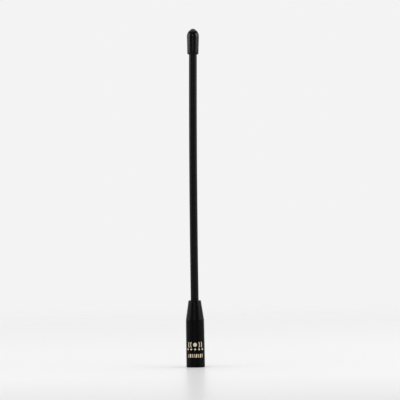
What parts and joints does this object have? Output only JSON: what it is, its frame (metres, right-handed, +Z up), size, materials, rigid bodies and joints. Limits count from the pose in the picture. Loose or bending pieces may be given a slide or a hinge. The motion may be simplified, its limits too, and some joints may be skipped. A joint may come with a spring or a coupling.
{
  "type": "whip antenna",
  "caption": "Slim flexible whip antenna on a round tapered base, with a pointed tip cap and a screw-on coaxial plug recessed in the base.",
  "frame": {"origin": "centre of the base's bottom rim, which is the plane that the antenna stands on", "axes": "+Z up the base's axis towards the tip; the whip's slight set leans towards +X, in the XZ plane; the print's side faces -Y"},
  "size_m": [0.0094, 0.0094, 0.17],
  "materials": {
    "moulded_black": "satin moulded",
    "black_rubber": "smooth satin",
    "gilt_brass": "gold plated, turned",
    "plain_brass": "turned",
    "silicone": "matte",
    "white_insulation": "waxy",
    "silvered_wire": "drawn",
    "spring_wire": "drawn",
    "gold_print": "printed ink"
  },
  "bodies": {
    "root": {"base_housing": "moulded_black", "threaded_sleeve": "gilt_brass", "contact_body": "gilt_brass", "gasket": "silicone", "insulator": "white_insulation", "centre_pin": "gilt_brass", "coil_former": "white_insulation", "loading_coil": "silvered_wire", "ferrule": "plain_brass", "steel_core": "spring_wire", "whip_sheath": "black_rubber", "tip_cap": "black_rubber"}
  },
  "joints": []
}
